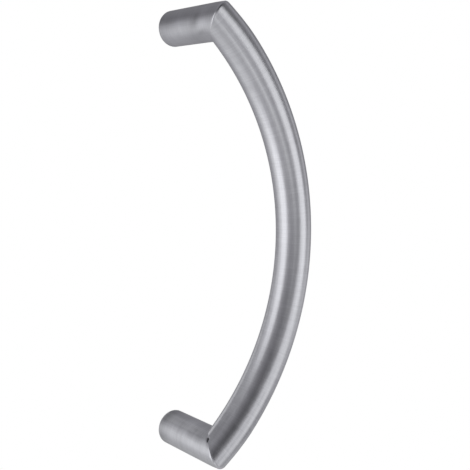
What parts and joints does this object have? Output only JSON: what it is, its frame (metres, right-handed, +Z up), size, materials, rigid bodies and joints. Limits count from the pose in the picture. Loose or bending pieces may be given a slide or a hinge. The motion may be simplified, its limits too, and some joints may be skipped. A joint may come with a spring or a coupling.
{
  "type": "door pull handle",
  "caption": "Bowed door pull handle: a satin steel tube arched parallel to the door, mitred to straight posts whose feet are tapped for bolts through the door.",
  "frame": {"origin": "on the face of the door, midway between the two fixings", "axes": "+Z up the door along the line between the fixings, +Y into the door, +X the way the grip bows"},
  "size_m": [0.0711, 0.0565, 0.25],
  "materials": {
    "satin_steel": "belt-ground round the tube, satin",
    "turned_steel": "turned on a lathe"
  },
  "bodies": {
    "root": {"bowed_grip": "satin_steel", "upper_post": "satin_steel", "lower_post": "satin_steel", "upper_threaded_insert": "turned_steel", "lower_threaded_insert": "turned_steel"}
  },
  "joints": []
}
